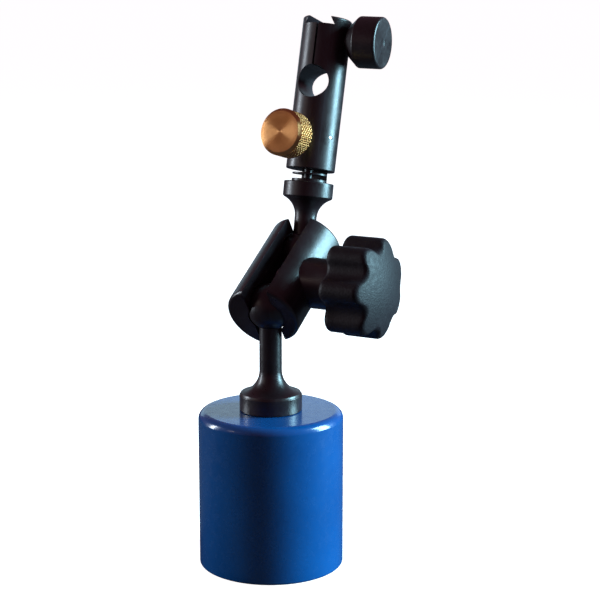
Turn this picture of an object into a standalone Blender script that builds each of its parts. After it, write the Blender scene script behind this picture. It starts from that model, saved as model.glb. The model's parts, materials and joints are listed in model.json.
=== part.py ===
"""Mini magnetic indicator holder, modelled at its real size.

A round pot magnet carries a ball stud.  A two-jaw clamp with one big knob grips
that ball and a second one, whose stud carries a flexure neck and a round bar.
The bar holds an 8 mm indicator stem or a dovetail, and a brass screw tilts it
finely.  The origin is the centre of the magnet's bottom, +Z is up, and +X is the
clamp knob's axis, so the clamp and the bar lean in the YZ plane.
"""
import math

import bmesh
import bpy
from mathutils import Matrix, Vector

MM = 0.001            # every dimension below is in millimetres, angles in degrees
GAP = 0.3             # clearance between pieces that touch

# Magnet
BASE_RADIUS = 17.5
BASE_HEIGHT = 38.2
BASE_EDGE = 2.0       # rounding of the cup's top edge
CUP_CAVITY_RADIUS = 14.3
CUP_CAVITY_HEIGHT = 24.0
SPACER_INNER = 12.9
POLE_HEIGHT = 8.0
STEM_RADIUS = 2.8     # threaded stem of the lower stud
STEM_CHAMFER = 0.5

# Ball studs
BALL_RADIUS = 5.6
SHANK_RADIUS = 2.7
SOFT_EDGE = 0.3       # small chamfer on turned black pieces
LOWER_BALL_Z = 63.5
LOWER_FLARE_START = 15.5      # below the lower ball's centre
LOWER_FLARE_RADIUS = 5.5      # concave flare between shank and flange
LOWER_FLANGE_RADIUS = 7.55
LOWER_FLANGE_TOP = 42.3
UPPER_FLARE_START = 9.2       # above the upper ball's centre
UPPER_FLARE_RADIUS = 5.0
UPPER_FLANGE_RADIUS = 6.1
UPPER_FLANGE_START = 14.2
UPPER_FLANGE_END = 17.7

# Ball clamp
CLAMP_TILT = 56.0             # from vertical, toward +Y
CLAMP_RADIUS = 8.9
CLAMP_OFFSET = -0.5           # the clamp cylinder's axis in X; the balls are at 0
CLAMP_EDGE = 0.9
BALL_SPACING = 18.5
FAR_JAW_ENDS = (-4.5, 22.2)   # along the clamp, from the lower ball's centre
NEAR_JAW_ENDS = (-3.0, 23.5)
JAW_FACE = 2.9                # the jaws' flats, from the balls' centre plane
SOCKET_RADIUS = BALL_RADIUS + 0.25
COLLAR_SEAT = 6.0             # depth of the round seat under the thrust collar
COLLAR_RADIUS = 6.1
COLLAR_END = 13.9
WASHER_RADIUS = 5.2
WASHER_THICKNESS = 0.5
BOLT_RADIUS = 1.9
BOLT_HEAD_RADIUS = 3.8
BOLT_HEAD_START = -8.9
BOLT_HEAD_END = -5.1
BOLT_END = 21.6
BOLT_CHAMFER = 0.4
HEX_RADIUS = 2.2
HEX_DEPTH = 2.2
SPRING_RADIUS = 2.75
SPRING_WIRE = 0.3
SPRING_HALF_LENGTH = 2.7
SPRING_TURNS = 4

# Clamp knob
KNOB_BACK = 15.0
KNOB_RIM = 25.1
KNOB_CROWN = 2.5              # how far the face is domed in front of its rim
KNOB_RADIUS = 12.25
KNOB_LOBES = 7
KNOB_VALLEY = 9.6             # radius at the bottom of a flute
KNOB_TIP = 2.8                # rounding of a lobe, seen along the axis
KNOB_LOBE_CLOCK = 17.0        # first lobe, clockwise from the top, seen from +X
KNOB_FRONT_EDGE = 1.7
KNOB_BACK_EDGE = 1.4
KNOB_FORM_MARGIN = 0.05       # the turned form clears the lobes' tips
INSERT_RADIUS = 4.2
INSERT_END = 22.0
INSERT_SINK = 0.1             # below the knob's back

# Flexure neck, in its own frame along the upper stud's axis
STUD_TILT = 11.2              # upper stud from vertical, toward +Y
NECK_YAW = -1.0               # the fine screw's side, about the stud's axis
NECK_RADIUS = 4.3
NECK_STEP = 18.4              # top of the neck's foot
TONGUE_BOTTOM = 19.5
TONGUE_TOP = 19.9
WEB_FACE = 2.3                # the web runs from here to the neck's back
HINGE_Y = 3.3
HINGE_Z = 19.1
BAR_LEAN = 2.5                # the bar's lean past the stud's axis at rest
BAR_BOTTOM = 20.5

# Indicator bar, from its own bottom centre
BAR_RADIUS = 6.0
BAR_LENGTH = 37.2
BAR_TOP_EDGE = 0.4
STEM_BORE_RADIUS = 4.0
STEM_BORE_DROP = 16.0         # bore axis below the bar's top
BORE_AZIMUTH = -83.7
SLIT_WIDTH = 0.5
DOVETAIL_THROAT = 5.7
DOVETAIL_FLOOR = 7.7
DOVETAIL_DEPTH = 1.9
DOVETAIL_LIP = 0.2            # straight mouth above the dovetail
PIN_RADIUS = 1.0
PIN_OFFSET = -0.8             # toward the fine screw's head
PIN_CLEARANCE = 0.5           # room for the pin as the bar tilts
FINE_SCREW_HEIGHT = 7.0
FINE_SCREW_RADIUS = 1.5
FINE_CONE_LENGTH = 3.0
FINE_TIP = -1.6
FINE_TIP_RADIUS = 0.4
FINE_HOLE_END = -2.6
FINE_HEAD_RADIUS = 5.65
FINE_HEAD_FACE = 16.4
FINE_HEAD_LENGTH = 6.0
FINE_HEAD_CHAMFER = 0.6
FINE_SOCKET_DEPTH = 3.0       # how far the screw is pressed into its head
FINE_HUB_RADIUS = 3.4
FINE_HUB_END = 7.4
STOP_PIN_RADIUS = 0.5
STOP_PIN_HEIGHT = 8.0
STOP_PIN_AZIMUTH = -18.0
STOP_PIN_START = 3.2
STOP_PIN_SINK = 0.15          # its outer end below the bar's surface

# Stem clamp screw
THUMB_DROP = 5.2              # its axis below the bar's top
THUMB_RADIUS = 6.3
THUMB_FACE = 15.2
THUMB_CHAMFER = 0.7
THUMB_SOCKET_DEPTH = 2.5
THUMB_NECK_RADIUS = 3.6
THUMB_NECK_START = 6.7
THUMB_CONE_END = 9.2
THUMB_SCREW_RADIUS = 1.5
THUMB_SCREW_END = -4.8

COLOURS = {
    "blue_paint": ((0.012, 0.022, 0.16), 0.2, 0.3),
    "black_oxide": ((0.02, 0.02, 0.024), 0.35, 0.9),
    "black_plastic": ((0.018, 0.018, 0.02), 0.5, 0.0),
    "brass": ((0.78, 0.56, 0.25), 0.3, 1.0),
    "steel": ((0.55, 0.55, 0.56), 0.35, 1.0),
    "ferrite": ((0.06, 0.06, 0.065), 0.7, 0.2),
    "spring_steel": ((0.4, 0.4, 0.42), 0.3, 1.0),
}


def clear_scene():
    for obj in list(bpy.data.objects):
        bpy.data.objects.remove(obj, do_unlink=True)


def new_collection(name):
    collection = bpy.data.collections.new(name)
    bpy.context.scene.collection.children.link(collection)
    return collection


clear_scene()
PARTS = new_collection("magnetic_indicator_holder")
CUTTERS = new_collection("cutters")


def make_materials():
    materials = {}
    for name, (colour, roughness, metallic) in COLOURS.items():
        material = bpy.data.materials.new(name)
        material.use_nodes = True
        shader = material.node_tree.nodes["Principled BSDF"]
        shader.inputs["Base Color"].default_value = (*colour, 1.0)
        shader.inputs["Roughness"].default_value = roughness
        shader.inputs["Metallic"].default_value = metallic
        material.diffuse_color = (*colour, 1.0)
        materials[name] = material
    return materials


MATERIALS = make_materials()


# ---------------------------------------------------------------- helpers

def frame(name, parent=None, at=(0, 0, 0), turn=(0, 0, 0)):
    """An empty that stands on a joint's axis and carries what moves with it."""
    empty = bpy.data.objects.new(name, None)
    empty.parent = parent
    empty.location = Vector(at) * MM
    empty.rotation_euler = [math.radians(angle) for angle in turn]
    PARTS.objects.link(empty)
    return empty


def place(name, data, parent, at, turn, material):
    """Link an object; without a material it is a cutter."""
    obj = bpy.data.objects.new(name, data)
    obj.parent = parent
    obj.location = Vector(at) * MM
    obj.rotation_euler = [math.radians(angle) for angle in turn]
    if material:
        PARTS.objects.link(obj)
        data.materials.append(MATERIALS[material])
    else:
        CUTTERS.objects.link(obj)
        obj.display_type = "WIRE"
        obj.hide_render = True
    return obj


def arc(centre, radius, start, end, steps):
    """Points on an arc of a profile, angles from +X toward +Z."""
    points = []
    for i in range(steps + 1):
        angle = math.radians(start + (end - start) * i / steps)
        points.append((centre[0] + radius * math.cos(angle), centre[1] + radius * math.sin(angle)))
    return points


def turned(name, profile, parent=None, at=(0, 0, 0), turn=(0, 0, 0), material=None,
           sides=32, ring=False):
    """A turned solid about its Z axis; the profile runs down its outer side."""
    mesh = bpy.data.meshes.new(name)
    edges = [(i, i + 1) for i in range(len(profile) - 1)]
    if ring:
        edges.append((len(profile) - 1, 0))
    mesh.from_pydata([(r * MM, 0, z * MM) for r, z in profile], edges, [])
    obj = place(name, mesh, parent, at, turn, material)
    screw = obj.modifiers.new("Turn", "SCREW")
    screw.steps = screw.render_steps = sides
    screw.use_merge_vertices = True
    screw.merge_threshold = 0.00001
    screw.use_smooth_shade = True
    return obj


def rod(name, radius, start, end, parent=None, at=(0, 0, 0), turn=(0, 0, 0), material=None,
        sides=24, edge=0.0):
    """A cylinder from start to end on its Z axis, with an optional chamfer."""
    profile = [(0, end), (radius - edge, end), (radius, end - edge),
               (radius, start + edge), (radius - edge, start), (0, start)]
    if not edge:
        profile = [(0, end), (radius, end), (radius, start), (0, start)]
    return turned(name, profile, parent, at, turn, material, sides)


def tube(name, inner, outer, start, end, parent=None, at=(0, 0, 0), turn=(0, 0, 0),
         material=None, sides=32, edge=0.2):
    """A ring or bush with chamfered outer edges."""
    profile = [(inner, end), (outer - edge, end), (outer, end - edge),
               (outer, start + edge), (outer - edge, start), (inner, start)]
    return turned(name, profile, parent, at, turn, material, sides, ring=True)


def block(name, low, high, parent=None, at=(0, 0, 0), turn=(0, 0, 0), flare=1.0):
    """A box cutter; flare widens its lower face along X."""
    size = Vector(high) - Vector(low)
    middle = (Vector(high) + Vector(low)) / 2
    bm = bmesh.new()
    bmesh.ops.create_cube(bm, size=1.0)
    for vertex in bm.verts:
        if vertex.co.z < 0:
            vertex.co.x *= flare
        vertex.co = Vector([c * s + m for c, s, m in zip(vertex.co, size, middle)]) * MM
    mesh = bpy.data.meshes.new(name)
    bm.to_mesh(mesh)
    bm.free()
    return place(name, mesh, parent, at, turn, None)


def cut(target, *cutters, operation="DIFFERENCE"):
    for cutter in cutters:
        modifier = target.modifiers.new(cutter.name, "BOOLEAN")
        modifier.operation = operation
        modifier.solver = "EXACT"
        modifier.object = cutter


# ---------------------------------------------------------------- magnet

def build_magnet():
    """A steel pot with a ferrite disc, its pole plate and a brass spacer ring."""
    top, edge = BASE_HEIGHT, BASE_EDGE
    hole = STEM_RADIUS + GAP
    profile = [(hole, top), *arc((BASE_RADIUS - edge, top - edge), edge, 90, 0, 4),
               (BASE_RADIUS, 0.5), (BASE_RADIUS - 0.5, 0), (CUP_CAVITY_RADIUS, 0),
               (CUP_CAVITY_RADIUS, CUP_CAVITY_HEIGHT), (hole, CUP_CAVITY_HEIGHT)]
    turned("magnet_cup", profile, material="blue_paint", sides=48, ring=True)
    tube("pole_spacer_ring", SPACER_INNER, CUP_CAVITY_RADIUS - GAP, 0.2, POLE_HEIGHT,
         material="brass")
    rod("pole_plate", SPACER_INNER - GAP, 0, POLE_HEIGHT, material="steel", sides=40, edge=0.2)
    rod("magnet_disc", SPACER_INNER - GAP, POLE_HEIGHT + GAP, CUP_CAVITY_HEIGHT - GAP,
        material="ferrite", sides=40)


# ---------------------------------------------------------------- ball studs

def ball_arc(steps=8):
    """Half outline of a ball from its far pole to the shank, centred on the origin."""
    shank_angle = math.degrees(math.acos(SHANK_RADIUS / BALL_RADIUS))
    return arc((0, 0), BALL_RADIUS, 90, -shank_angle, steps)


def flare_arc(start, radius, flange_radius, steps=5):
    """Concave flare from the shank at -start to the flange, going down."""
    centre = (SHANK_RADIUS + radius, -start)
    end = 180 + math.degrees(math.acos((centre[0] - flange_radius + SOFT_EDGE) / radius))
    return arc(centre, radius, 180, end, steps)


def build_lower_stud():
    """Ball, shank, flare and flange, with a threaded stem into the magnet cup."""
    flange_top = LOWER_FLANGE_TOP - LOWER_BALL_Z
    flange_bottom = BASE_HEIGHT + GAP - LOWER_BALL_Z
    stem_end = CUP_CAVITY_HEIGHT + GAP - LOWER_BALL_Z
    radius = LOWER_FLANGE_RADIUS
    profile = [(0, BALL_RADIUS), *ball_arc()[1:],
               *flare_arc(LOWER_FLARE_START, LOWER_FLARE_RADIUS, radius),
               (radius, flange_top - SOFT_EDGE), (radius, flange_bottom + SOFT_EDGE),
               (radius - SOFT_EDGE, flange_bottom), (STEM_RADIUS, flange_bottom),
               (STEM_RADIUS, stem_end + STEM_CHAMFER), (STEM_RADIUS - STEM_CHAMFER, stem_end),
               (0, stem_end)]
    turned("lower_ball_stud", profile, at=(0, 0, LOWER_BALL_Z), material="black_oxide")


def build_upper_stud(ball_frame):
    """Ball, shank, flare and flange, pointing up along the ball frame's Z axis."""
    radius = UPPER_FLANGE_RADIUS
    profile = [(0, BALL_RADIUS), *ball_arc()[1:],
               *flare_arc(UPPER_FLARE_START, UPPER_FLARE_RADIUS, radius),
               (radius, -UPPER_FLANGE_START), (radius, -UPPER_FLANGE_END + SOFT_EDGE),
               (radius - SOFT_EDGE, -UPPER_FLANGE_END), (0, -UPPER_FLANGE_END)]
    turned("upper_ball_stud", profile, ball_frame, turn=(180, 0, 0), material="black_oxide")


# ---------------------------------------------------------------- ball clamp

def jaw_blank(name, clamp, ends, low_x, high_x):
    """The part of the clamp's cylinder between two X planes, with both ball sockets."""
    low, high = ends
    edge, side = CLAMP_EDGE, CLAMP_RADIUS - CLAMP_EDGE
    profile = [(0, high), *arc((side, high - edge), edge, 90, 0, 2),
               *arc((side, low + edge), edge, 0, -90, 2), (0, low)]
    jaw = turned(name, profile, clamp, at=(CLAMP_OFFSET, 0, 0), material="black_oxide", sides=48)
    reach = CLAMP_RADIUS + 1
    cut(jaw, block(name + "_half", (low_x, -reach, low - 1), (high_x, reach, high + 1), clamp))
    for centre in (0.0, BALL_SPACING):
        cut(jaw, turned("{}_socket_{:.0f}".format(name, centre), arc((0, 0), SOCKET_RADIUS, 90, -90, 12),
                        clamp, at=(0, 0, centre), sides=28))
    return jaw


def build_jaws(clamp, axis):
    """Two jaws with a gap that lets the shanks swing; axis follows the bolt."""
    reach = CLAMP_RADIUS + 2
    far = jaw_blank("far_jaw", clamp, FAR_JAW_ENDS, -JAW_FACE, reach)
    cut(far,
        rod("far_bolt_hole", BOLT_RADIUS + GAP, -reach, 0, axis, sides=16),
        rod("far_bolt_seat", BOLT_HEAD_RADIUS + GAP, -reach, BOLT_HEAD_END + GAP, axis, sides=24))
    near = jaw_blank("near_jaw", clamp, NEAR_JAW_ENDS, -reach, JAW_FACE)
    cut(near,
        rod("near_bolt_hole", BOLT_RADIUS + GAP, 0, reach, axis, sides=16),
        rod("near_collar_seat", COLLAR_RADIUS + GAP, COLLAR_SEAT, reach, axis, sides=32))


def build_clamp_bolt(axis):
    """A socket-head bolt, held in the far jaw, that the knob screws along."""
    head, shank = BOLT_HEAD_RADIUS, BOLT_RADIUS
    profile = [(0, BOLT_END), (shank - BOLT_CHAMFER, BOLT_END), (shank, BOLT_END - BOLT_CHAMFER),
               (shank, BOLT_HEAD_END), (head, BOLT_HEAD_END), (head, BOLT_HEAD_START + SOFT_EDGE),
               (head - SOFT_EDGE, BOLT_HEAD_START), (0, BOLT_HEAD_START)]
    bolt = turned("clamp_bolt", profile, axis, material="black_oxide", sides=24)
    cut(bolt, rod("hex_socket", HEX_RADIUS, BOLT_HEAD_START - 1, BOLT_HEAD_START + HEX_DEPTH,
                  axis, sides=6))


def build_spring(axis):
    """The coil spring that opens the jaws when the knob is loosened."""
    curve = bpy.data.curves.new("jaw_spring", "CURVE")
    curve.dimensions = "3D"
    curve.bevel_depth = SPRING_WIRE * MM
    curve.bevel_resolution = 1
    curve.use_fill_caps = True
    points_per_turn = 10
    count = SPRING_TURNS * points_per_turn + 1
    spline = curve.splines.new("POLY")
    spline.points.add(count - 1)
    travel = 2 * (SPRING_HALF_LENGTH - SPRING_WIRE)
    for i, point in enumerate(spline.points):
        angle = 2 * math.pi * i / points_per_turn
        height = travel * (i / (count - 1) - 0.5)
        point.co = (SPRING_RADIUS * math.cos(angle) * MM, SPRING_RADIUS * math.sin(angle) * MM,
                    height * MM, 1.0)
    place("jaw_spring", curve, axis, (0, 0, 0), (0, 0, 0), "spring_steel")


def build_thrust_pieces(axis):
    tube("thrust_collar", BOLT_RADIUS + GAP, COLLAR_RADIUS, COLLAR_SEAT + GAP, COLLAR_END, axis,
         material="black_oxide", edge=0.4)
    tube("thrust_washer", BOLT_RADIUS + GAP, WASHER_RADIUS, COLLAR_END + GAP,
         COLLAR_END + GAP + WASHER_THICKNESS, axis, material="steel", sides=24, edge=0.1)


def knob_outline():
    """Lobes and wide flutes, seen along the axis, as arcs that meet smoothly."""
    half_pitch = 180.0 / KNOB_LOBES
    lobe = KNOB_RADIUS - KNOB_TIP
    inner = KNOB_VALLEY - KNOB_TIP
    flute = (lobe ** 2 - inner ** 2) / (2 * (lobe * math.cos(math.radians(half_pitch)) - inner))
    flute_radius = flute - KNOB_VALLEY
    centre = Vector((lobe, 0))
    flute_centre = Vector((math.cos(math.radians(half_pitch)), math.sin(math.radians(half_pitch)))) * flute
    meeting = math.degrees(math.atan2(*reversed(flute_centre - centre)))
    outline = []
    for i in range(KNOB_LOBES):
        turn = math.radians(180 + CLAMP_TILT - KNOB_LOBE_CLOCK + 2 * half_pitch * i)
        points = arc(centre, KNOB_TIP, -meeting, meeting, 6)
        points += arc(flute_centre, flute_radius, meeting + 180, 2 * half_pitch - meeting + 180, 7)[1:-1]
        outline += [(x * math.cos(turn) - y * math.sin(turn), x * math.sin(turn) + y * math.cos(turn))
                    for x, y in points]
    return outline


def outline_solid(name, outline, start, end, parent, material):
    """A flat outline extruded from start to end along Z, as one welded mesh."""
    curve = bpy.data.curves.new(name + "_outline", "CURVE")
    curve.dimensions = "2D"
    curve.fill_mode = "BOTH"
    curve.extrude = (end - start) / 2 * MM
    spline = curve.splines.new("POLY")
    spline.points.add(len(outline) - 1)
    for point, (x, y) in zip(spline.points, outline):
        point.co = (x * MM, y * MM, 0, 1)
    spline.use_cyclic_u = True
    flat = bpy.data.objects.new(name + "_outline", curve)
    CUTTERS.objects.link(flat)
    bpy.context.view_layer.update()
    graph = bpy.context.evaluated_depsgraph_get()
    mesh = bpy.data.meshes.new_from_object(flat.evaluated_get(graph))
    mesh.materials.clear()
    bpy.data.objects.remove(flat)
    bm = bmesh.new()
    bm.from_mesh(mesh)
    bmesh.ops.remove_doubles(bm, verts=bm.verts, dist=0.000001)
    bmesh.ops.translate(bm, verts=bm.verts, vec=(0, 0, (start + end) / 2 * MM))
    bmesh.ops.recalc_face_normals(bm, faces=bm.faces)
    bm.to_mesh(mesh)
    bm.free()
    return place(name, mesh, parent, (0, 0, 0), (0, 0, 0), material)


def knob_profile():
    """Half outline of the knob's turned form: domed face, rounded rims."""
    front, back = KNOB_FRONT_EDGE, KNOB_BACK_EDGE
    dome_radius = (KNOB_RADIUS ** 2 + KNOB_CROWN ** 2) / (2 * KNOB_CROWN)
    dome_centre = KNOB_RIM + KNOB_CROWN - dome_radius
    rim = KNOB_RADIUS + KNOB_FORM_MARGIN - front
    rise = math.sqrt((dome_radius - front) ** 2 - rim ** 2)
    slope = math.degrees(math.atan2(rise, rim))
    return [*arc((0, dome_centre), dome_radius, 90, slope, 5),
            *arc((rim, dome_centre + rise), front, slope, 0, 3)[1:],
            *arc((rim + front - back, KNOB_BACK + back), back, 0, -90, 3), (0, KNOB_BACK)]


def build_knob(axis):
    """A lobed knob with a domed face, over a threaded insert."""
    knob = outline_solid("clamp_knob", knob_outline(), KNOB_BACK - 1, KNOB_RIM + KNOB_CROWN + 1, axis,
                         "black_plastic")
    cut(knob, turned("knob_form", knob_profile(), axis, sides=42), operation="INTERSECT")
    cut(knob, rod("insert_pocket", INSERT_RADIUS + GAP, KNOB_BACK - 2, INSERT_END + GAP, axis))
    tube("knob_insert", BOLT_RADIUS + GAP, INSERT_RADIUS, KNOB_BACK + INSERT_SINK, INSERT_END, axis,
         material="brass", sides=24)


# ---------------------------------------------------------------- flexure neck

def build_neck(neck):
    """Two slots leave a thin tongue and, at the back, the web that bends."""
    reach = NECK_RADIUS + 1
    top = BAR_BOTTOM - GAP
    body = rod("flexure_neck", NECK_RADIUS, UPPER_FLANGE_END + GAP, top, neck,
               material="black_oxide", sides=32)
    cut(body,
        block("slot_lower", (-reach, -reach, NECK_STEP), (reach, WEB_FACE, TONGUE_BOTTOM), neck),
        block("slot_upper", (-reach, -reach, TONGUE_TOP), (reach, WEB_FACE, top + 1), neck),
        rod("tongue_hole", PIN_RADIUS + PIN_CLEARANCE, NECK_STEP, top + 1, neck,
            at=(0, PIN_OFFSET, 0), sides=20))
    pin_top = BAR_BOTTOM + FINE_SCREW_HEIGHT - FINE_SCREW_RADIUS - GAP
    rod("tilt_pin", PIN_RADIUS, NECK_STEP + GAP, pin_top, neck, at=(0, PIN_OFFSET, 0),
        material="black_oxide", sides=20, edge=SOFT_EDGE)


# ---------------------------------------------------------------- indicator bar

def build_bar(bar):
    """The bar: stem bore, slit, dovetail, and holes for its screws and pins."""
    length, reach = BAR_LENGTH, BAR_RADIUS + 2
    edge = BAR_TOP_EDGE
    profile = [(0, length), (BAR_RADIUS - edge, length), (BAR_RADIUS, length - edge),
               (BAR_RADIUS, SOFT_EDGE), (BAR_RADIUS - SOFT_EDGE, 0), (0, 0)]
    body = turned("indicator_bar", profile, bar, material="black_oxide", sides=40)
    bore_height = length - STEM_BORE_DROP
    across = BORE_AZIMUTH + 90
    slit_side = SLIT_WIDTH / 2
    cut(body,
        rod("stem_bore", STEM_BORE_RADIUS, -reach, reach, bar, at=(0, 0, bore_height),
            turn=(0, 90, BORE_AZIMUTH), sides=32),
        block("slit", (-slit_side, -reach, bore_height), (slit_side, reach, length + 1), bar,
              turn=(0, 0, across)),
        block("dovetail", (-DOVETAIL_THROAT / 2, -reach, length - DOVETAIL_DEPTH),
              (DOVETAIL_THROAT / 2, reach, length), bar, turn=(0, 0, across),
              flare=DOVETAIL_FLOOR / DOVETAIL_THROAT),
        block("dovetail_mouth", (-DOVETAIL_THROAT / 2, -reach, length - DOVETAIL_LIP),
              (DOVETAIL_THROAT / 2, reach, length + 1), bar, turn=(0, 0, across)),
        rod("thumb_hole", THUMB_SCREW_RADIUS + GAP, THUMB_SCREW_END - GAP, reach, bar,
            at=(0, 0, length - THUMB_DROP), turn=(0, 90, across), sides=20),
        rod("fine_hole", FINE_SCREW_RADIUS + GAP, FINE_HOLE_END, reach, bar,
            at=(0, 0, FINE_SCREW_HEIGHT), turn=(90, 0, 0), sides=20),
        rod("pin_bore", PIN_RADIUS + PIN_CLEARANCE, -1, FINE_SCREW_HEIGHT, bar,
            at=(0, PIN_OFFSET, 0), sides=20),
        rod("stop_pin_hole", STOP_PIN_RADIUS + GAP, STOP_PIN_START - GAP, reach, bar,
            at=(0, 0, STOP_PIN_HEIGHT), turn=(0, 90, STOP_PIN_AZIMUTH), sides=16))
    rod("screw_stop_pin", STOP_PIN_RADIUS, STOP_PIN_START, BAR_RADIUS - STOP_PIN_SINK, bar,
        at=(0, 0, STOP_PIN_HEIGHT), turn=(0, 90, STOP_PIN_AZIMUTH), material="steel", sides=16,
        edge=STOP_PIN_SINK)


def build_fine_screw(axis):
    """Knurled brass head on a fine-thread screw whose cone lifts the tilt pin."""
    face, back = FINE_HEAD_FACE, FINE_HEAD_FACE - FINE_HEAD_LENGTH
    radius, hub, bore = FINE_HEAD_RADIUS, FINE_HUB_RADIUS, FINE_SCREW_RADIUS + GAP
    floor = back + FINE_SOCKET_DEPTH
    profile = [(0, face), (radius - FINE_HEAD_CHAMFER, face), (radius, face - FINE_HEAD_CHAMFER),
               (radius, back + SOFT_EDGE), (radius - SOFT_EDGE, back), (hub, back),
               (hub, FINE_HUB_END), (bore, FINE_HUB_END), (bore, floor), (0, floor)]
    turned("fine_screw_head", profile, axis, material="brass")
    screw, end = FINE_SCREW_RADIUS, floor - GAP
    shank = [(0, end), (screw, end), (screw, FINE_TIP + FINE_CONE_LENGTH),
             (FINE_TIP_RADIUS, FINE_TIP), (0, FINE_TIP)]
    turned("fine_screw_shank", shank, axis, material="steel", sides=20)


def build_thumbscrew(axis):
    """Black turned head pressed onto the screw that closes the bar's slit."""
    radius, face = THUMB_RADIUS, THUMB_FACE
    bore, floor = THUMB_SCREW_RADIUS + GAP, THUMB_FACE - THUMB_SOCKET_DEPTH
    profile = [(0, face), (radius - THUMB_CHAMFER, face), (radius, face - THUMB_CHAMFER),
               (radius, THUMB_CONE_END), (THUMB_NECK_RADIUS, THUMB_NECK_START),
               (bore, THUMB_NECK_START), (bore, floor), (0, floor)]
    turned("stem_clamp_head", profile, axis, material="black_oxide")
    rod("stem_clamp_screw", THUMB_SCREW_RADIUS, THUMB_SCREW_END, floor - GAP, axis,
        material="steel", sides=20, edge=SOFT_EDGE)


def main():
    build_magnet()
    build_lower_stud()
    clamp = frame("lower_ball_frame", at=(0, 0, LOWER_BALL_Z), turn=(-CLAMP_TILT, 0, 0))
    bolt_axis = frame("clamp_bolt_frame", clamp, at=(0, 0, BALL_SPACING / 2), turn=(0, 90, 0))
    build_jaws(clamp, bolt_axis)
    build_clamp_bolt(bolt_axis)
    build_spring(bolt_axis)
    build_thrust_pieces(bolt_axis)
    build_knob(bolt_axis)
    upper_ball = frame("upper_ball_frame", clamp, at=(0, 0, BALL_SPACING),
                       turn=(CLAMP_TILT - STUD_TILT, 0, 0))
    build_upper_stud(upper_ball)
    neck = frame("neck_frame", upper_ball, turn=(0, 0, NECK_YAW))
    build_neck(neck)
    hinge = frame("bar_hinge_frame", neck, at=(0, HINGE_Y, HINGE_Z), turn=(-BAR_LEAN, 0, 0))
    bar = frame("bar_frame", hinge, at=(0, -HINGE_Y, BAR_BOTTOM - HINGE_Z))
    build_bar(bar)
    build_fine_screw(frame("fine_screw_frame", bar, at=(0, 0, FINE_SCREW_HEIGHT), turn=(90, 0, 0)))
    build_thumbscrew(frame("stem_clamp_frame", bar, at=(0, 0, BAR_LENGTH - THUMB_DROP),
                           turn=(0, 90, BORE_AZIMUTH + 90)))


main()
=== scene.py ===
"""Finished look of the magnetic indicator holder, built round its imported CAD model."""
import json
import math

import bmesh
import bpy
import numpy as np
from mathutils import Matrix, Vector


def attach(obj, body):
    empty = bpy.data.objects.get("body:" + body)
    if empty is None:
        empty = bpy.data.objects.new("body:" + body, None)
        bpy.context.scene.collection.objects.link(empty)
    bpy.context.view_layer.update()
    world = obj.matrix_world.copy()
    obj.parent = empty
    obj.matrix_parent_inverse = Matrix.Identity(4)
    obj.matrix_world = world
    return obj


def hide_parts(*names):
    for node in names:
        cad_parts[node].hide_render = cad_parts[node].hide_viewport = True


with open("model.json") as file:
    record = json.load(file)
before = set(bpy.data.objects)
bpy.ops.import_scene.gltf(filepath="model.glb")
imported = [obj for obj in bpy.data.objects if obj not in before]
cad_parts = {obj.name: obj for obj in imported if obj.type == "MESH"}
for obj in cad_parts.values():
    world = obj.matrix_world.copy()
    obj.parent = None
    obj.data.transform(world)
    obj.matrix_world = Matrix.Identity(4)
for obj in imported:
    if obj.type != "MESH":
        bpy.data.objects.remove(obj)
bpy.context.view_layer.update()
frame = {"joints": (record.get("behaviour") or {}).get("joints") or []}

MM = 0.001            # shapes are in millimetres, lights and shading in metres, angles in degrees

# Sizes shared with the CAD model
BASE_RADIUS, BASE_HEIGHT, BASE_EDGE = 17.5, 38.2, 2.0
CAVITY_RADIUS, CAVITY_HEIGHT = 14.3, 24.0
SPACER_INNER, POLE_HEIGHT, STEM_RADIUS = 12.9, 8.0, 2.8
BALL_RADIUS, SHANK_RADIUS = 5.6, 2.7
LOWER_FLARE_START, LOWER_FLARE_RADIUS = 15.5, 5.5
LOWER_FLANGE_RADIUS, LOWER_FLANGE_TOP = 7.55, 42.3
UPPER_FLARE_START, UPPER_FLARE_RADIUS, UPPER_FLANGE_RADIUS = 9.2, 5.0, 6.1
UPPER_FLANGE_START, UPPER_FLANGE_END = 14.2, 17.7
CLAMP_RADIUS, CLAMP_OFFSET, CLAMP_EDGE = 8.9, -0.5, 0.9
FAR_JAW_ENDS, NEAR_JAW_ENDS, JAW_FACE = (-4.5, 22.2), (-3.0, 23.5), 2.9
SOCKET_RADIUS, COLLAR_SEAT = 5.85, 6.0
COLLAR_RADIUS, COLLAR_END, WASHER_RADIUS, WASHER_END = 6.1, 13.9, 5.2, 14.7
BOLT_RADIUS, BOLT_HEAD_RADIUS, BOLT_HEAD_START, BOLT_HEAD_END, BOLT_END = 1.9, 3.8, -8.9, -5.1, 21.6
SPRING_RADIUS, SPRING_WIRE, SPRING_HALF_LENGTH, SPRING_TURNS = 2.75, 0.3, 2.7, 4
KNOB_BACK, KNOB_RIM, KNOB_CROWN, KNOB_RADIUS = 15.0, 25.1, 2.5, 12.25
KNOB_LOBES, KNOB_VALLEY, KNOB_TIP, KNOB_LOBE_CLOCK = 7, 9.6, 2.8, 17.0
KNOB_FRONT_EDGE, KNOB_BACK_EDGE = 1.7, 1.4
INSERT_RADIUS, INSERT_END, INSERT_SINK = 4.2, 22.0, 0.1
NECK_RADIUS, NECK_STEP, TONGUE_BOTTOM, TONGUE_TOP = 4.3, 18.4, 19.5, 19.9
WEB_FACE, BAR_BOTTOM = 2.3, 20.5
BAR_RADIUS, BAR_LENGTH, STEM_BORE_RADIUS, STEM_BORE_DROP = 6.0, 37.2, 4.0, 16.0
BORE_AZIMUTH, SLIT_WIDTH = -83.7, 0.5
DOVETAIL_THROAT, DOVETAIL_FLOOR, DOVETAIL_DEPTH = 5.7, 7.7, 1.9
PIN_RADIUS, PIN_OFFSET = 1.0, -0.8
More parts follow.
